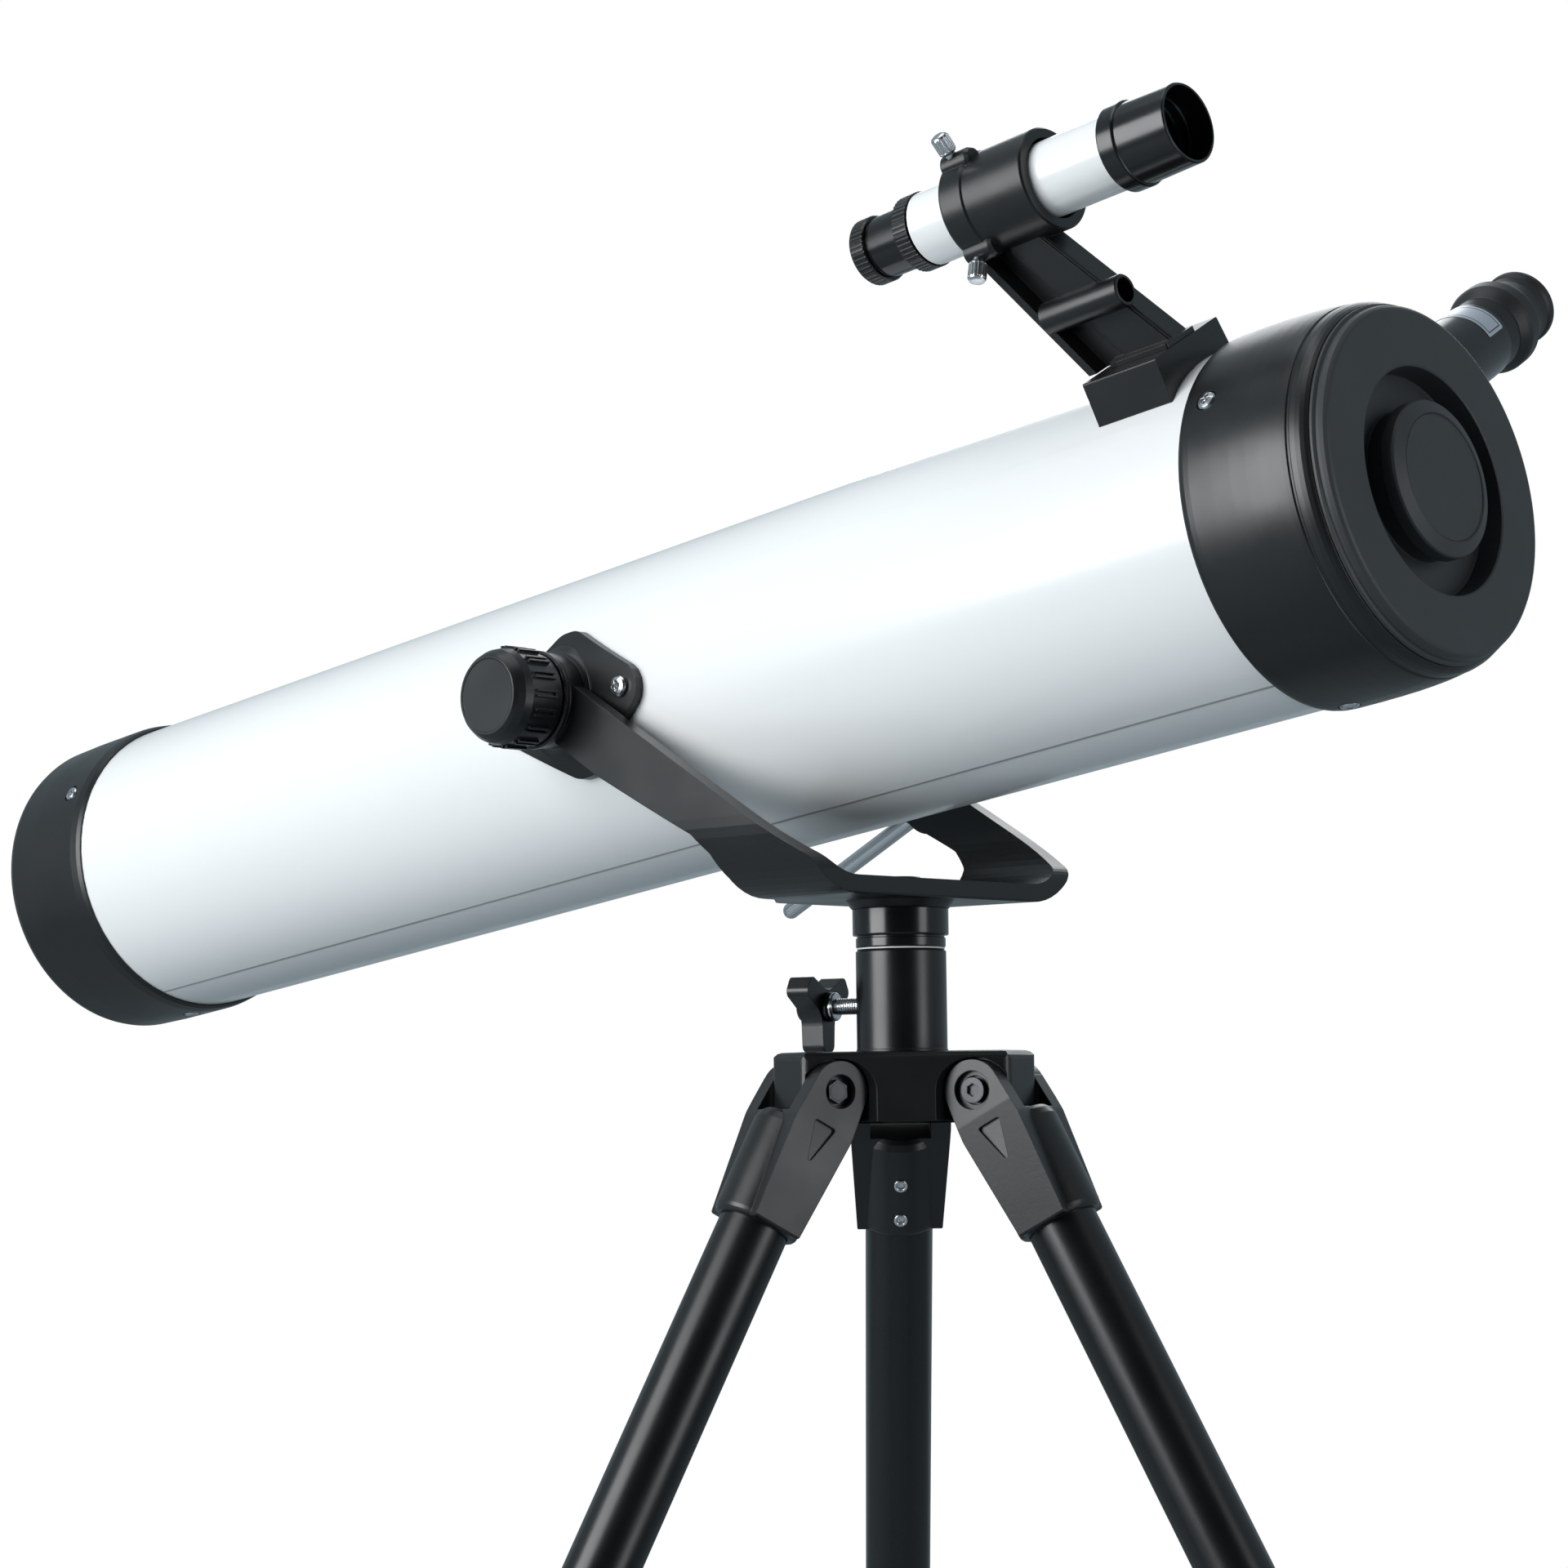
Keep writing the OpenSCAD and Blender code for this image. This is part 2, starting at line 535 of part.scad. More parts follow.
module eyecup() color("#161718") focuser_frame() rotate_extrude() polygon([[11.05, 216.1],
  [14.3, 216.1], [16.4, 219.6], [17.05, 221.4], [17.05, 226.8], [16.5, 227.6], [15.2, 229.2],
  [13.6, 234], [12.9, 239.5], [13.3, 243], [14, 244.4], [14.2, 245.4], [14.2, 246.8], [13.8, 247.5],
  [12.6, 247.5], [12, 246.6], [11.2, 241], [11.2, 236], [11.05, 235.4]]);

// ---- finder --------------------------------------------------------------

module finder_base() color("#17191c") on_tube(finder_om, 245.6) difference() {
  rotate([90, 0, 90]) linear_extrude(29.6) polygon(rpoly([[-25.7, 46], [-24, foot_z], [16.8, foot_z],
    [18.6, 46]], 0.6, 3));
  translate([-245.6, 0, 0]) rod_x(tr + 0.05, 230, 290);
  translate([-9, 0, 0]) rotate([90, 0, 90]) linear_extrude(35.6) polygon([[-6.1, 70.4], [6.1, 70.4],
    [8.6, 63.2], [-8.6, 63.2]]);
}

// height of the base's top over the tube axis
foot_z = 69.2;

module finder_bracket() color("#17191c") on_tube(finder_om, 0) difference() {
  union() {
    translate([0, 0, finder_r]) {
      turned([[0, 217.3], [17.2, 217.3], [17.6, 217.9], [17.6, 226.4], [17, 227.2], [17, 250.9],
        [16.4, 251.6], [0, 251.6]]);
      for (k = [0 : 2]) rotate([screw_om(k), 0, 0]) translate([0, 0, 16.7])
        turned([[0, 217.6], [3.4, 217.6], [3.9, 218.1], [3.9, 228], [3.2, 229.4], [0, 229.4]]);
    }
    intersection() {
      union() {
        arm_edge([243.8, 67], [219, 120]);
        arm_web([[245, 68], [258, 68], [231, 119], [219, 119]], -5.4, 2);
        arm_web([[254, 67.9], [274.6, 67.9], [241.5, 119.1], [226.4, 119.1]], -6.4, 2.3);
        arm_web([[255.2, 67.8], [274.3, 67.8], [241.2, 119.2], [227.6, 119.2]], -7.3, 1.7);
        arm_web([[256.6, 67.7], [273.8, 67.7], [240.7, 119.3], [229, 119.3]], -8, 1.4);
      }
      translate([200, -30, foot_z]) cube([90, 60, 60]);
    }
    translate([0, 0, foot_z]) linear_extrude(1.8)
      polygon(rpoly([[250, -14], [274.6, -14], [274.6, 4], [246, 4]], [5, 1, 1, 1], 6));
    translate([246, 0, 0]) rotate([90, 0, 90]) linear_extrude(26) polygon([[-6, 69.5], [6, 69.5],
      [8.4, 63.3], [-8.4, 63.3]]);
    translate([0, -10, 91]) turned([[0, 234], [5.2, 234], [5.4, 234.2], [5.4, 265.6], [5, 266], [0, 266]]);
    translate([235, -9.5, 86.6]) cube([18, 9, 9]);
  }
  translate([0, 0, finder_r]) {
    rod_x(13.4, 210, 260);
    for (k = [0 : 2]) rotate([screw_om(k), 0, 0]) translate([221.8, 0, 0]) rod_z(2.05, 5, 30);
  }
  translate([0, -10, 91]) rod_x(4.1, 240, 280);
}

// upright plate of the arm between two heights of y, outline in X and Z
module arm_web(pts, y0, y1) {
  translate([0, y1, 0]) rotate([90, 0, 0]) linear_extrude(y1 - y0) polygon(pts);
}

function screw_om(k) = 14 + 120 * k;

module arm_edge(a, b) {
  d = b - a;
  translate([a.x, 0, a.y]) rotate([0, -atan2(d.y, d.x), 0]) translate([0, -12.5, -1.4])
    cube([norm(d), 25, 2.8]);
}

module finder_tube() color("#eceeee") finder_frame() difference() {
  rod_x(12.4, 199, 296);
  rod_x(11.6, 190, 300);
}

module finder_objective_cell() color("#17191b") finder_frame() turned([[12.45, 280.3], [14, 280.3],
  [14.25, 280.7], [14.25, 286.2], [13.9, 286.8], [13.5, 287], [13.1, 305.6], [12.8, 306],
  [12.1, 306], [11.9, 297.6], [11.2, 297.6], [11.2, 296.2], [12.45, 296.2]]);

module finder_lens() color("#9fb2bd") finder_frame() intersection() {
  rod_x(11.1, 291, 296);
  translate([256, 0, 0]) sphere(r = 40, $fn = 160);
}

module finder_lock_ring() color("#191b1d") finder_frame() difference() {
  rod_x(12.9, 192.6, 198.4);
  rod_x(10.05, 180, 200);
  for (k = [0 : 47]) rotate([7.5 * k, 0, 0]) translate([0, 0, 13.1]) rod_x(0.45, 192, 199);
}

module finder_eyepiece() color("#17191b") finder_frame() difference() {
  turned([[0, 171], [9.2, 171], [9.8, 171.5], [10.9, 171.8], [11.4, 172.4], [11.4, 177.4], [11, 178],
    [9.8, 178.2], [9.8, 179.4], [10.4, 179.6], [10.5, 192], [10, 192], [10, 206], [0, 206]]);
  for (k = [0 : 41]) rotate([360 * k / 42, 0, 0]) translate([0, 0, 11.6]) rod_x(0.42, 171, 178.1);
  rod_x(8.6, 174, 210);
  rod_x(4.6, 170, 175);
}

module finder_screw(k) color("#c4c7cb") finder_frame() rotate([screw_om(k), 0, 0])
  translate([221.8, 0, 0]) difference() {
    rotate_extrude() polygon([[0, 12.5], [1.4, 12.5], [2, 13.1], [2, 21.4], [2.6, 21.4], [3.1, 22],
      [3.1, 27.2], [2.7, 27.9], [1.8, 28.3], [0, 28.4]]);
    for (j = [0 : 13]) rotate([0, 0, 360 * j / 14]) translate([3.3, 0, 22.4]) cylinder(r = 0.42, h = 9);
  }

// ---- slow-motion rod -----------------------------------------------------

rod_y0 = 81.6;

module rod_bracket() color("#191b1e") ota() difference() {
  union() {
    intersection() {
      rotate([-90, 0, 0]) translate([158.7, 1, 40]) linear_extrude(40)
        polygon(rpoly([[-17, -10], [17, -10], [17, 10], [-17, 10]], 4, 5));
      difference() {
        rod_x(tr + 4, 130, 190);
        rod_x(tr + 0.05, 130, 190);
      }
    }
    translate([158.7, 0, -1]) {
      difference() {
        rod_y(6.5, 55, 77.4);
        translate([-158.7, 0, 1]) rod_x(tr + 0.05, 130, 190);
      }
      rod_y(3, 77, 86.4);
      rod_y(5, 86, 88.4);
    }
  }
}

module slow_motion_rod() color("#c9ccd0") translate([piv_x + 157.4, rod_y0, piv_z + 20.47])
  rotate([0, -26.5, 0]) difference() {
    union() {
      rod_x(3.2, -201.5, -4);
      translate([-201.5, 0, 0]) sphere(r = 3.2);
      rod_y(7, -4.1, 4.1);
    }
    rod_y(3.05, -10, 10);
  }

module rod_clamp() color("#1b1d20") translate([piv_x + 50, rod_y0, piv_z - 33.05])
  rotate([0, -26.5, 0]) difference() {
    union() {
      rod_x(8.4, -7, 7);
      rod_y(3, -16, -6);
      rod_y(5.4, -8.4, -6.8);
      rod_y(4.6, 6.5, 11);
      rod_y(8, 11, 17);
      rod_y(5, -17.6, -15.75);
    }
    rod_x(6.6, -8, 8);
    for (k = [0 : 11]) rotate([0, 30 * k, 0]) translate([8.4, 0, 0]) rod_y(1.2, 10.5, 18);
  }

// ---- placement -----------------------------------------------------------

tripod_hub();
hinge_bolts();
azimuth_column();
lock_screw();
lock_knob();
leg_fitting(0);  // leg_fitting_a
leg_tube(0);  // leg_tube_a
leg_collar(0);  // leg_collar_a
leg_lower(0);  // leg_lower_a
leg_foot(0);  // leg_foot_a
leg_fitting(1);  // leg_fitting_b
leg_tube(1);  // leg_tube_b
leg_collar(1);  // leg_collar_b
leg_lower(1);  // leg_lower_b
leg_foot(1);  // leg_foot_b
leg_fitting(2);  // leg_fitting_c
leg_tube(2);  // leg_tube_c
leg_collar(2);  // leg_collar_c
leg_lower(2);  // leg_lower_c
leg_foot(2);  // leg_foot_c
yoke();
yoke_spindle();
azimuth_washer();
altitude_washers();
altitude_knob(0);  // altitude_knob_near
altitude_knob(1);  // altitude_knob_far
saddle_plates();
saddle_screws();
main_tube();
front_ring();
rear_ring();
ring_screws();
dust_cap();
centre_cap();
spider();
secondary_holder();
secondary_mirror();
mirror_cell();
primary_mirror();
collimation_screws();
focuser_base();
drawtube();
focus_shaft();
focus_knobs();
erecting_tube();
eyepiece();
eyecup();
finder_base();
finder_bracket();
finder_tube();
finder_objective_cell();
finder_lens();
finder_lock_ring();
finder_eyepiece();
finder_screw(0);  // finder_screw_a
finder_screw(1);  // finder_screw_b
finder_screw(2);  // finder_screw_c
rod_bracket();
slow_motion_rod();
rod_clamp();
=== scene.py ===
"""Looks of a newtonian reflector telescope on an altazimuth yoke and a folding tripod.

The CAD frame gives every shape and place. This script adds the finishes, the small details that
are too fine for the CAD (seam, label, threads, leg screws, eye lens), the light and the camera.
Lengths are metres; MM turns millimetres into metres.
"""
import json
import math

import bmesh
import bpy
from mathutils import Matrix, Vector


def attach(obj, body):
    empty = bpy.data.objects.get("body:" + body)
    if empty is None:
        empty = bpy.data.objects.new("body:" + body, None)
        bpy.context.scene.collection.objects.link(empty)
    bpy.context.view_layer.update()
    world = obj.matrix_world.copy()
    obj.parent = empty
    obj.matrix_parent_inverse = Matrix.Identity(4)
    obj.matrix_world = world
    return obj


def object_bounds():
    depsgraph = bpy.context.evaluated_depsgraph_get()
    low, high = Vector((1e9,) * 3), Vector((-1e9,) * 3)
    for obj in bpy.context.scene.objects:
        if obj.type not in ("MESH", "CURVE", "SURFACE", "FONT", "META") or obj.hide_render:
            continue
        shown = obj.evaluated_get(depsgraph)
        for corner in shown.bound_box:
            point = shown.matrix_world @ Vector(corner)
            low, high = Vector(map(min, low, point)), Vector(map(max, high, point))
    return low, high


MM = 0.001

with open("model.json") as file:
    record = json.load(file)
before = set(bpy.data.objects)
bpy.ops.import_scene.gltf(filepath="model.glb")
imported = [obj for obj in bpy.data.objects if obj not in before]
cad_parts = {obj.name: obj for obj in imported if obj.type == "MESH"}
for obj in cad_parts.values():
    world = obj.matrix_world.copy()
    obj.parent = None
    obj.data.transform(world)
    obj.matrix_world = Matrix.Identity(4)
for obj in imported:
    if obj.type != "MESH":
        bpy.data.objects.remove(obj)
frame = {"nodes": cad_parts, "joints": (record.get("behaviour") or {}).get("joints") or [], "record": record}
CAD_BOX = [[float(c) for c in corner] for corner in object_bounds()]
NODES = frame["nodes"]
JOINTS = {j["name"]: j for j in frame["joints"]}
SLOTS = {s["node"]: s["material_slot"] for s in frame["record"]["subparts"]}


# ---- places, all from the frame ------------------------------------------------------------

def axis(joint):
    """Unit vector along a joint's axis."""
    return Vector(JOINTS[joint]["axis"]).normalized()


def place(origin, x, z):
    """Matrix of a local frame at origin with the given X and Z directions."""
    y = z.cross(x).normalized()
    rows = [(x[i], y[i], z[i], origin[i]) for i in range(3)]
    return Matrix(rows + [(0, 0, 0, 1)])


ALONG = axis("dust_cap_off")
TO_EYEPIECE = axis("focus_slide")
PIVOT = Vector(JOINTS["altitude"]["pos_m"])
ACROSS = Vector((0, 1, 0))
UP_TUBE = ALONG.cross(ACROSS).normalized()
TUBE_R = 60 * MM


def tube_point(om, radius, station):
    """Point at angle om (degrees from the top, towards +Y), radius and station of the tube."""
    a = math.radians(om)
    radial = UP_TUBE * math.cos(a) + ACROSS * math.sin(a)
    return PIVOT + ALONG * station + radial * radius


# ---- node material tools --------------------------------------------------------------------

class Graph:
    """Short way to write a shader node tree."""

    def __init__(self, name):
        self.material = bpy.data.materials.new(name)
        self.material.use_nodes = True
        self.tree = self.material.node_tree
        self.tree.nodes.clear()
        self.coords = self.tree.nodes.new("ShaderNodeTexCoord").outputs["Object"]

    def node(self, kind, settings=None, **inputs):
        made = self.tree.nodes.new("ShaderNode" + kind)
        for key, value in (settings or {}).items():
            setattr(made, key, value)
        for key, value in inputs.items():
            self.put(made.inputs[key.replace("_", " ")], value)
        return made

    def put(self, socket, value):
        if isinstance(value, bpy.types.NodeSocket):
            self.tree.links.new(value, socket)
        else:
            socket.default_value = value

    def noise(self, scale, detail=3.0, stretch=(1, 1, 1)):
        mapped = self.node("Mapping", Vector=self.coords, Scale=stretch)
        made = self.node("TexNoise", Vector=mapped.outputs[0], Scale=scale, Detail=detail)
        return made.outputs["Fac"]

    def math(self, operation, a, b=0.0, clamp=False):
        made = self.node("Math", {"operation": operation, "use_clamp": clamp})
        self.put(made.inputs[0], a)
        self.put(made.inputs[1], b)
        return made.outputs[0]

    def span(self, value, low, high, to_low, to_high):
        made = self.node("MapRange", {"clamp": True})
        for slot, v in zip(made.inputs, (value, low, high, to_low, to_high)):
            self.put(slot, v)
        return made.outputs[0]

    def mix(self, factor, a, b):
        made = self.node("Mix", {"data_type": "RGBA"})
        self.put(made.inputs[0], factor)
        self.put(made.inputs[6], a)
        self.put(made.inputs[7], b)
        return made.outputs[2]

    def finish(self, shader):
        out = self.tree.nodes.new("ShaderNodeOutputMaterial")
        self.tree.links.new(shader, out.inputs["Surface"])
        return self.material


def rgba(colour):
    return (*colour, 1.0)


def surface(name, colour, rough, metal=0.0, tint=0.10, cloud=14.0, spread=0.05, grain=1400.0,
            grain_depth=0.03, stretch=(1, 1, 1), edge=0.25, edge_colour=None, round_edge=0.4,
            coat=0.0, coat_rough=0.1, inside=None):
    """A procedural finish: clouded colour and roughness, fine grain in the bump, worn edges.

    grain_depth is millimetres of bump, round_edge the radius in millimetres that the shading
    gives a sharp edge, edge the share of wear that an edge shows. inside is (point, axis, radius)
    of a tube whose bore is painted matt black.
    """
    g = Graph(name)
    cloud_map = g.noise(cloud, 4.0)
    base = g.mix(g.span(cloud_map, 0.3, 0.7, 0.0, 1.0),
                 rgba([c * (1 - tint) for c in colour]), rgba([c * (1 + tint) for c in colour]))
    bevel = g.node("Bevel", {"samples": 4}, Radius=round_edge * MM)
    true_normal = g.node("NewGeometry").outputs["Normal"]
    turned_away = g.node("VectorMath", {"operation": "DOT_PRODUCT"})
    g.put(turned_away.inputs[0], bevel.outputs[0])
    g.put(turned_away.inputs[1], true_normal)
    worn = g.span(turned_away.outputs["Value"], 0.80, 0.985, 1.0, 0.0)
    worn = g.math("MULTIPLY", worn, g.span(g.noise(180.0, 5.0), 0.35, 0.65, 0.3, 1.0))
    worn = g.math("MULTIPLY", worn, edge)
    rubbed = edge_colour or [min(1.0, c * 2.2 + 0.02) for c in colour]
    base = g.mix(worn, base, rgba(rubbed))
    fine = g.noise(grain, 2.0, stretch)
    bump = g.node("Bump", Strength=1.0, Distance=grain_depth * MM, Height=fine,
                  Normal=bevel.outputs[0])
    rough_map = g.span(g.noise(cloud * 3.1, 5.0), 0.3, 0.7, rough - spread, rough + spread)
    rough_map = g.math("ADD", rough_map, g.math("MULTIPLY", worn, 0.12), clamp=True)
    if inside:
        point, direction, radius = inside
        from_point = g.node("VectorMath", {"operation": "SUBTRACT"})
        g.put(from_point.inputs[0], g.coords)
        g.put(from_point.inputs[1], point)
        off_axis = g.node("VectorMath", {"operation": "CROSS_PRODUCT"})
        g.put(off_axis.inputs[0], from_point.outputs[0])
        g.put(off_axis.inputs[1], direction)
        reach = g.node("VectorMath", {"operation": "LENGTH"})
        g.put(reach.inputs[0], off_axis.outputs[0])
        bore = g.span(reach.outputs["Value"], radius - 0.05 * MM, radius + 0.05 * MM, 1.0, 0.0)
        base = g.mix(bore, base, (0.006, 0.006, 0.006, 1))
        rough_map = g.math("ADD", rough_map, g.math("MULTIPLY", bore, 0.5), clamp=True)
        coat = g.span(bore, 0.0, 1.0, coat, 0.0)
    shader = g.node("BsdfPrincipled", Base_Color=base, Roughness=rough_map, Metallic=metal,
                    Coat_Weight=coat, Coat_Roughness=coat_rough,
                    Normal=bump.outputs[0])
    return g.finish(shader.outputs[0])


def glass(name, colour, rough=0.02):
    """Coated lens glass: clear, with a faint green-blue sheen."""
    g = Graph(name)
    tint = g.mix(g.span(g.noise(60.0), 0.3, 0.7, 0.0, 1.0), rgba(colour),
                 rgba([c * 0.94 for c in colour]))
    shader = g.node("BsdfPrincipled", Base_Color=tint, IOR=1.5, Transmission_Weight=1.0,
                    Roughness=g.span(g.noise(300.0), 0.3, 0.7, rough, rough + 0.02),
                    Specular_Tint=(0.45, 0.75, 0.8, 1.0))
    return g.finish(shader.outputs[0])


def make_finishes():
    """One material for each material slot of the record except the white paint."""
    cool = (0.94, 1.0, 1.06)

    def black(level):
        return [level * c for c in cool]

    return {
        "black_casting": surface("cast_black", black(0.006), 0.33, spread=0.04, grain=800.0,
                                 grain_depth=0.016, edge=0.30),
        "black_plastic": surface("moulded_black", black(0.007), 0.34, spread=0.04, grain=1700.0,
                                 grain_depth=0.010, edge=0.25),
        "gloss_black": surface("gloss_black", black(0.005), 0.20, spread=0.04, grain=1100.0,
                               grain_depth=0.004, edge=0.25),
        "black_tube": surface("powder_black", black(0.003), 0.30, spread=0.03, grain=1300.0,
                              grain_depth=0.010, edge=0.25),
        "zinc": surface("bright_zinc", (0.62, 0.63, 0.65), 0.22, metal=1.0, tint=0.08,
                        spread=0.07, grain=2500.0, grain_depth=0.006, edge=0.5,
                        edge_colour=(0.85, 0.85, 0.86)),
        "steel": surface("ground_steel", (0.5, 0.5, 0.51), 0.3, metal=1.0, tint=0.1, spread=0.08,
                         grain=900.0, stretch=(1, 6, 6), grain_depth=0.008, edge=0.5,
                         edge_colour=(0.8, 0.8, 0.8)),
        "rubber": surface("rubber", (0.010, 0.010, 0.011), 0.50, spread=0.06, grain=900.0,
                          grain_depth=0.02, edge=0.2, round_edge=0.6),
        "mirror": surface("aluminised_glass", (0.9, 0.92, 0.93), 0.03, metal=1.0, tint=0.01,
                          spread=0.01, grain=300.0, grain_depth=0.0005, edge=0.1),
        "lens": glass("coated_lens", (0.93, 0.97, 0.98)),
        "ptfe": surface("washer_white", (0.70, 0.70, 0.67), 0.4, tint=0.04, edge=0.1,
                        edge_colour=(0.6, 0.6, 0.58)),
        "alloy": surface("anodised_grey", (0.20, 0.21, 0.22), 0.34, metal=0.8, tint=0.08,
                         spread=0.06, grain=700.0, stretch=(1, 1, 0.2), grain_depth=0.008,
                         edge=0.4, edge_colour=(0.55, 0.55, 0.56)),
    }


def tube_paint(name, point, radius):
    """White enamel outside and matt black inside a tube along the optical axis."""
    return surface(name, (0.79, 0.80, 0.805), 0.26, tint=0.004, spread=0.012, grain=420.0,
                   grain_depth=0.004, edge=0.12, edge_colour=(0.6, 0.6, 0.6), coat=0.3,
                   coat_rough=0.12, inside=(point, ALONG, radius))


FINISH = make_finishes()
CHARCOAL = surface("cap_charcoal", (0.030, 0.033, 0.036), 0.50, spread=0.04, grain=1900.0,
                   grain_depth=0.012, edge=0.3)
DARK_BOLT = surface("blackened_steel", (0.035, 0.037, 0.040), 0.26, metal=0.6, spread=0.08,
                    grain=1500.0, grain_depth=0.01, edge=0.6, edge_colour=(0.6, 0.6, 0.6))
FINDER_AXIS = Vector(JOINTS["finder_lock_turn"]["pos_m"])
OWN_FINISH = {
    "dust_cap": CHARCOAL,
    "centre_cap": CHARCOAL,
    "hinge_bolts": DARK_BOLT,
    "main_tube": tube_paint("tube_enamel", PIVOT, TUBE_R - 0.4 * MM),
    "finder_tube": tube_paint("finder_enamel", FINDER_AXIS, 12 * MM),
}


def dress(node):
    """Gives a CAD node its finish."""
    material = OWN_FINISH.get(node) or FINISH[SLOTS[node]]
    mesh = NODES[node].data
    mesh.materials.clear()
    mesh.materials.append(material)
    NODES[node].material_slots[0].link = "OBJECT"
    NODES[node].material_slots[0].material = material


for name in NODES:
    dress(name)


# ---- mesh tools -----------------------------------------------------------------------------

def piece(name, bm, body, slot_name, material=None, smooth=38):
    """Turns a bmesh in the row frame into a piece that rides on a body."""
    bmesh.ops.recalc_face_normals(bm, faces=bm.faces)
    mesh = bpy.data.meshes.new(name)
    bm.to_mesh(mesh)
    bm.free()
    mesh.materials.append(material or FINISH[slot_name])
    made = bpy.data.objects.new(name, mesh)
    bpy.context.scene.collection.objects.link(made)
    mesh.shade_smooth()
    mesh.set_sharp_from_angle(angle=math.radians(smooth))
    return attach(made, body)


def revolve(bm, profile, matrix, steps=64):
    """Closed ring about local Z from points (radius, height); a zero radius closes on the axis."""
    rings = []
    for r, z in profile:
        if r == 0:
            rings.append([bm.verts.new(matrix @ Vector((0, 0, z)))] * steps)
        else:
            rings.append([bm.verts.new(matrix @ Vector((
                r * math.cos(2 * math.pi * k / steps), r * math.sin(2 * math.pi * k / steps), z)))
                for k in range(steps)])
    pairs = list(zip(rings, rings[1:]))
    if profile[0][0] > 0:
        pairs.append((rings[-1], rings[0]))
    for a, b in pairs:
        for k in range(steps):
            n = (k + 1) % steps
            corners = []
            for v in (a[k], a[n], b[n], b[k]):
                if v not in corners:
                    corners.append(v)
            if len(corners) > 2:
                bm.faces.new(corners)


def helix(bm, matrix, radius, crest, pitch, start, end, steps=28):
    """Thread ridge about local Z: a triangular rib of the given crest on a core of the radius."""
    turns = (end - start) / pitch
    count = int(turns * steps)
    rows = []
    for k in range(count + 1):
        a = 2 * math.pi * k / steps
        z = start + pitch * k / steps
        fade = min(1.0, k / steps, (count - k) / steps)
        rows.append([bm.verts.new(matrix @ Vector((r * math.cos(a), r * math.sin(a), z + dz)))
                     for r, dz in ((radius, -0.42 * pitch), (radius + crest * fade, 0),
                                   (radius, 0.42 * pitch))])
    for a, b in zip(rows, rows[1:]):
        for i in range(3):
            bm.faces.new((a[i], a[(i + 1) % 3], b[(i + 1) % 3], b[i]))
    bm.faces.new(rows[0])
    bm.faces.new(list(reversed(rows[-1])))


def curved_patch(bm, matrix, radius, thick, z0, z1, a0, a1, steps=40, corner=0.0):
    """Thin closed sheet on a cylinder about local Z between two heights and two angles."""
    rows = []
    for k in range(steps + 1):
        a = math.radians(a0 + (a1 - a0) * k / steps)
        inset = 0.0
        arc = radius * math.radians(min(abs(k), abs(steps - k)) * (a1 - a0) / steps)
        if corner and arc < corner:
            inset = corner - math.sqrt(max(0.0, corner ** 2 - (corner - arc) ** 2))
        rows.append([bm.verts.new(matrix @ Vector((r * math.cos(a), r * math.sin(a), z)))
                     for r, z in ((radius, z0 + inset), (radius, z1 - inset),
                                  (radius + thick, z1 - inset), (radius + thick, z0 + inset))])
    for a, b in zip(rows, rows[1:]):
        for i in range(4):
            bm.faces.new((a[i], a[(i + 1) % 4], b[(i + 1) % 4], b[i]))
    bm.faces.new(rows[0])
    bm.faces.new(list(reversed(rows[-1])))


# ---- details on the tube --------------------------------------------------------------------

def tube_seam():
    """The lapped seam of the rolled tube: a thin ridge along its lower near side, coloured dark grey as a
    painted shadow of its step.
    """
    seam_om, width = -156.7, 0.8 * MM
    foot, crest, step = TUBE_R - 0.2 * MM, TUBE_R + 0.14 * MM, TUBE_R + 0.3 * 0.14 * MM
    rear, front = -296.6 * MM, 282.6 * MM
    bm = bmesh.new()
    half = math.degrees(width / 2 / TUBE_R)
    rows = []
    for station in (rear, front):
        rows.append([bm.verts.new(tube_point(seam_om + om, r, station))
                     for om, r in ((-half, foot), (-half, crest), (half, step), (half, foot))])
    for i in range(4):
        bm.faces.new((rows[0][i], rows[0][(i + 1) % 4], rows[1][(i + 1) % 4], rows[1][i]))
    bm.faces.new(rows[0])
    bm.faces.new(list(reversed(rows[1])))
    # dark grey painted shadow of the seam's step, laid on the raised strip
    painted_seam_shadow = surface("seam_shadow", (0.30, 0.31, 0.32), 0.45, tint=0.1, edge=0.1)
    piece("tube_seam", bm, "ota", "white_paint", painted_seam_shadow)


def focuser_place():
    """Frame of the focuser: Z out along the drawtube, X along the tube."""
    station = (Vector(JOINTS["focus_turn"]["pos_m"]) - PIVOT).dot(ALONG)
    return place(PIVOT + ALONG * station, ALONG, TO_EYEPIECE)


FOCUSER = focuser_place()


def eyepiece_label():
    """A blank silver label with a thin dark border on the erecting tube."""
    radius, thick = 14.62 * MM, 0.1 * MM
    low, high = 193.6 * MM, 205.2 * MM
    first, last = -114, -9
    foil = surface("label_foil", (0.52, 0.56, 0.62), 0.3, metal=0.55, tint=0.05, edge=0.0,
                   grain=900.0, grain_depth=0.004)
    ink = surface("label_ink", (0.05, 0.06, 0.09), 0.45, tint=0.1, edge=0.0)
    bm = bmesh.new()
    curved_patch(bm, FOCUSER, radius, thick, low, high, first, last, corner=0.6 * MM)
    piece("eyepiece_label", bm, "erecting_tube", "zinc", foil)
    bm = bmesh.new()
    line, inset = 0.45 * MM, 1.3 * MM
    step = math.degrees(inset / radius)
    wide = math.degrees(line / radius)
    proud = radius + 0.6 * thick
    for z in (low + inset, high - inset - line):
        curved_patch(bm, FOCUSER, proud, 0.6 * thick, z, z + line, first + step, last - step)
    for a in (first + step, last - step - wide):
        curved_patch(bm, FOCUSER, proud, 0.6 * thick, low + inset, high - inset, a, a + wide, 3)
    piece("label_border", bm, "erecting_tube", "black_plastic", ink)


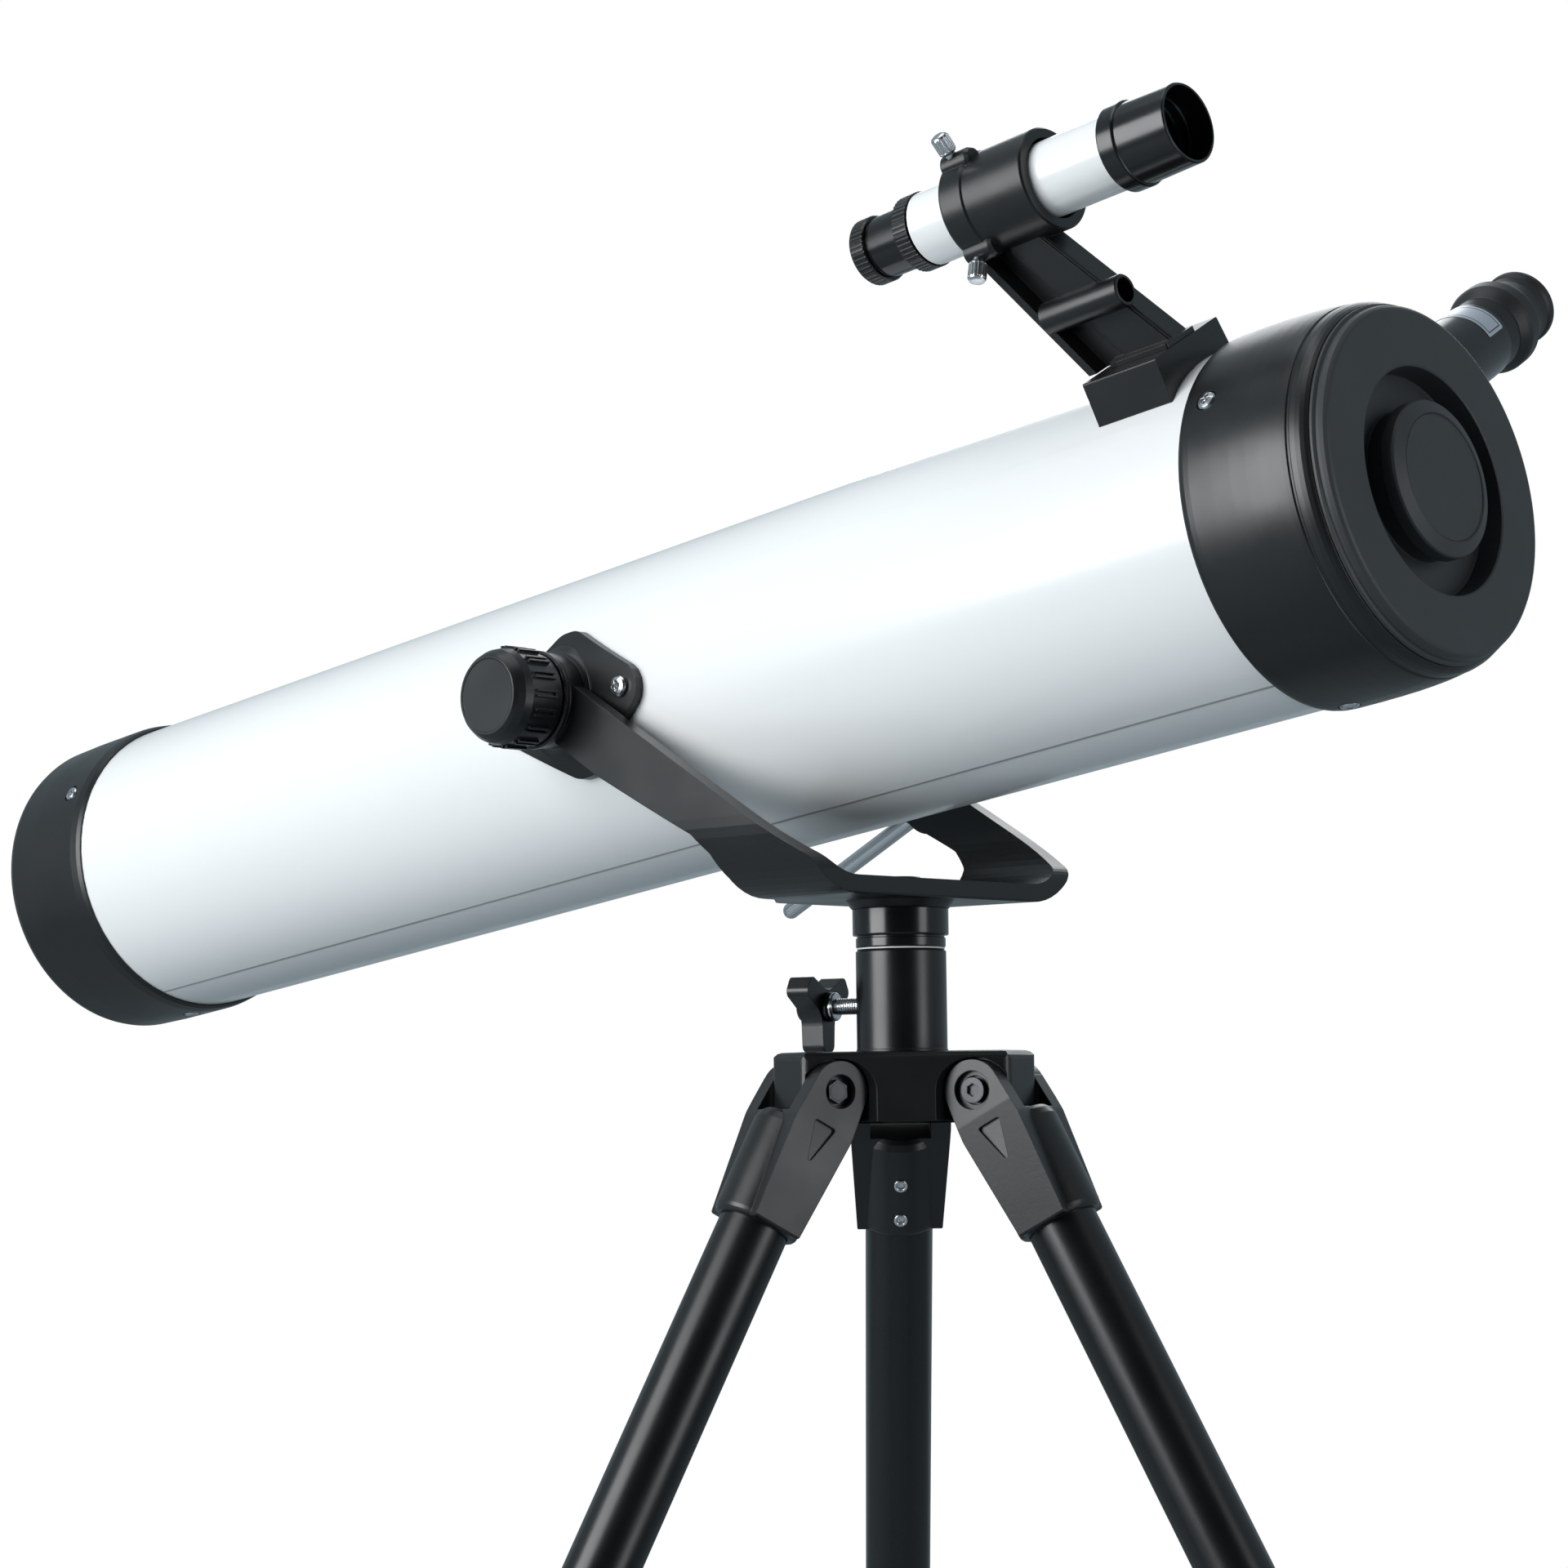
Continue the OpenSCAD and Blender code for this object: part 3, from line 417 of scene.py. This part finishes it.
def eye_lens():
    """Domed glass of the eyepiece, under the rubber cup."""
    bm = bmesh.new()
    radius, back_z, edge_z, dome, rings = 7.4, 229.2, 230.6, 1.6, 9
    profile = [(0, back_z), (radius, back_z)]
    for k in range(rings, -1, -1):
        r = radius * k / rings
        profile.append((r, edge_z + dome * (1 - (r / radius) ** 2)))
    revolve(bm, [(r * MM, z * MM) for r, z in profile], FOCUSER, 48)
    piece("eye_lens", bm, "eyepiece", "lens")


def leg_screws(leg):
    """Two socket screws on the inner side of a leg fitting that hold the upper tube."""
    hinge = JOINTS["leg_%s_fold" % leg]
    down = axis("leg_%s_extend" % leg)
    across = axis("leg_%s_fold" % leg).cross(-down).normalized()
    head = [(0, 13.5), (2.5, 13.5), (2.5, 15.3), (2.35, 15.6), (1.9, 15.8), (1.5, 15.7),
            (1.3, 15.4), (1.15, 14.4), (0, 14.2)]
    for number, depth in enumerate((30, 44)):
        bm = bmesh.new()
        origin = Vector(hinge["pos_m"]) + down * depth * MM
        spot = place(origin, -down, -across)
        revolve(bm, [(r * MM, z * MM) for r, z in head], spot, 36)
        piece("leg_%s_screw_%d" % (leg, number + 1), bm, "leg_" + leg, "zinc")


def lock_thread():
    """Thread ridge and washer on the open stretch of the azimuth lock screw."""
    out = axis("lock_turn")
    base = Vector(JOINTS["lock_turn"]["pos_m"])
    base -= out * base.xy.length
    spot = place(base, Vector((0, 0, 1)), out)
    core, crest, pitch = 2.48 * MM, 0.42 * MM, 0.9 * MM
    bm = bmesh.new()
    helix(bm, spot, core, crest, pitch, start=16.8 * MM, end=26.6 * MM)
    piece("lock_screw_thread", bm, "lock", "zinc", smooth=20)
    bm = bmesh.new()
    ring = [(2.55, 25.9), (4.6, 25.9), (5.0, 26.2), (5.0, 26.9), (4.8, 27.1), (2.55, 27.1)]
    revolve(bm, [(r * MM, z * MM) for r, z in ring], spot, 48)
    piece("lock_screw_washer", bm, "lock", "zinc")


tube_seam()
eyepiece_label()
eye_lens()
lock_thread()
for side in "abc":
    leg_screws(side)


# ---- light, floor and camera ----------------------------------------------------------------

def softbox(name, target, direction, distance, size, power, colour=(1, 1, 1)):
    """Rectangular light in a direction from the target, facing it."""
    data = bpy.data.lights.new(name, "AREA")
    data.shape = "RECTANGLE"
    data.size, data.size_y = size
    data.energy = power
    data.color = colour
    made = bpy.data.objects.new(name, data)
    bpy.context.scene.collection.objects.link(made)
    d = direction.normalized()
    made.location = target + d * distance
    made.rotation_mode = "QUATERNION"
    made.rotation_quaternion = d.to_track_quat("Z", "Y")
    return made


def make_world(dark):
    """White seen by the camera; in reflections a dim cool room, darkest in direction dark."""
    world = bpy.data.worlds.new("studio")
    bpy.context.scene.world = world
    world.use_nodes = True
    tree = world.node_tree
    tree.nodes.clear()
    coords = tree.nodes.new("ShaderNodeTexCoord")
    facing = tree.nodes.new("ShaderNodeVectorMath")
    facing.operation = "DOT_PRODUCT"
    tree.links.new(coords.outputs["Generated"], facing.inputs[0])
    facing.inputs[1].default_value = dark.normalized()
    level = tree.nodes.new("ShaderNodeMapRange")
    level.interpolation_type = "SMOOTHSTEP"
    for slot, v in zip(level.inputs[1:5], (0.35, 0.85, 1.0, 0.08)):
        slot.default_value = v
    tree.links.new(facing.outputs["Value"], level.inputs[0])
    room = tree.nodes.new("ShaderNodeBackground")
    room.inputs["Color"].default_value = (0.30, 0.37, 0.41, 1)
    tree.links.new(level.outputs[0], room.inputs["Strength"])
    white = tree.nodes.new("ShaderNodeBackground")
    white.inputs["Color"].default_value = (1, 1, 1, 1)
    rays = tree.nodes.new("ShaderNodeLightPath")
    mix = tree.nodes.new("ShaderNodeMixShader")
    out = tree.nodes.new("ShaderNodeOutputWorld")
    tree.links.new(rays.outputs["Is Camera Ray"], mix.inputs[0])
    tree.links.new(room.outputs[0], mix.inputs[1])
    tree.links.new(white.outputs[0], mix.inputs[2])
    tree.links.new(mix.outputs[0], out.inputs[0])


def make_floor():
    """A plain pale disc that fades into the white backdrop and can't be seen from below."""
    low = CAD_BOX[0][2]
    bm = bmesh.new()
    bmesh.ops.create_circle(bm, cap_ends=True, segments=96, radius=2.6)
    mesh = bpy.data.meshes.new("floor")
    bm.to_mesh(mesh)
    bm.free()
    made = bpy.data.objects.new("floor", mesh)
    bpy.context.scene.collection.objects.link(made)
    made.location.z = low - 0.2 * MM
    g = Graph("floor_pale")
    reach = g.node("VectorMath", {"operation": "LENGTH"})
    g.put(reach.inputs[0], g.coords)
    fade = g.span(reach.outputs["Value"], 1.0, 2.5, 0.0, 1.0)
    pale = g.node("BsdfDiffuse", Color=g.mix(g.noise(6.0), (0.86, 0.86, 0.86, 1),
                                             (0.90, 0.90, 0.90, 1)))
    glow = g.node("Emission", Color=(1, 1, 1, 1), Strength=1.0)
    seen = g.node("MixShader")
    g.put(seen.inputs[0], fade)
    g.put(seen.inputs[1], pale.outputs[0])
    g.put(seen.inputs[2], glow.outputs[0])
    dim = g.node("BsdfDiffuse", Color=(0.30, 0.34, 0.36, 1))
    floor_look = g.node("MixShader")
    g.put(floor_look.inputs[0], g.node("LightPath").outputs["Is Camera Ray"])
    g.put(floor_look.inputs[1], dim.outputs[0])
    g.put(floor_look.inputs[2], seen.outputs[0])
    clear = g.node("BsdfTransparent")
    both = g.node("MixShader")
    g.put(both.inputs[0], g.node("NewGeometry").outputs["Backfacing"])
    g.put(both.inputs[1], floor_look.outputs[0])
    g.put(both.inputs[2], clear.outputs[0])
    mesh.materials.append(g.finish(both.outputs[0]))


def make_camera():
    """Long-lens camera from the front right, a little below the tube; gives back its axes."""
    yaw, pitch, roll = -0.7646617, 0.0945685, -0.0115882
    forward = Vector((math.sin(yaw) * math.cos(pitch), math.cos(yaw) * math.cos(pitch),
                      math.sin(pitch)))
    right = Vector((math.cos(yaw), -math.sin(yaw), 0))
    up = right.cross(forward)
    turned_right = right * math.cos(roll) + up * math.sin(roll)
    data = bpy.data.cameras.new("camera")
    data.lens = 83.59
    data.sensor_width = 36
    data.shift_x, data.shift_y = 0.00752, -0.0134
    made = bpy.data.objects.new("camera", data)
    bpy.context.scene.collection.objects.link(made)
    made.matrix_world = place(Vector((0.84925, -0.94906, 0.00563)), turned_right, -forward)
    bpy.context.scene.camera = made
    return turned_right, forward


RIGHT, FORWARD = make_camera()
UP = Vector((0, 0, 1))
AIM = Vector((0, 0, 0.12))
make_world(UP * 0.55 - FORWARD)
make_floor()
softbox("key", AIM, -RIGHT * 0.86 - FORWARD * 0.5 + UP * 0.27, 2.0, (1.4, 1.4), 48,
        (0.975, 0.99, 1.0))
softbox("top", AIM, -RIGHT * 0.2 - FORWARD * 0.1 + UP, 1.9, (1.7, 0.9), 7)
softbox("back", AIM, FORWARD + RIGHT * 0.3 + UP * 0.6, 2.2, (1.4, 1.2), 12)
softbox("right", AIM, RIGHT * 0.8 - FORWARD * 0.6 + UP * 0.1, 2.1, (0.7, 1.6), 11)

view = bpy.context.scene.view_settings
view.view_transform = "Standard"
view.look = "None"
